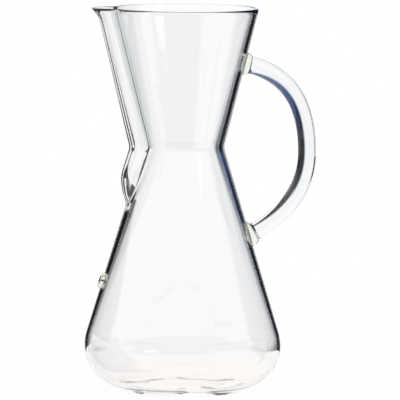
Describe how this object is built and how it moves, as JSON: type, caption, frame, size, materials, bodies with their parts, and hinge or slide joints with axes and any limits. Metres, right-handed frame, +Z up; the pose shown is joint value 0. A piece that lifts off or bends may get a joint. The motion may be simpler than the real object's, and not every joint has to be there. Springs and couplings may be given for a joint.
{
  "type": "pour-over coffee maker",
  "caption": "Clear glass pour-over coffee maker: an hourglass vessel with a pouring channel pressed into its funnel, a bent glass rod handle fused to the wall, and a level button.",
  "frame": {"origin": "on the surface it stands on, under the middle of the whole outline including the handle", "axes": "+Z up along the vessel's axis, +X from the spout towards the handle, +Y across"},
  "size_m": [0.1261, 0.107, 0.21],
  "materials": {
    "vessel_glass": "clear blown glass, fire-polished",
    "rod_glass": "clear drawn glass rod, fire-polished",
    "weld_glass": "clear fused glass, slightly uneven"
  },
  "bodies": {
    "root": {"vessel": "vessel_glass", "handle": "rod_glass", "handle_upper_weld": "weld_glass", "handle_lower_weld": "weld_glass", "level_button": "weld_glass"}
  },
  "joints": []
}
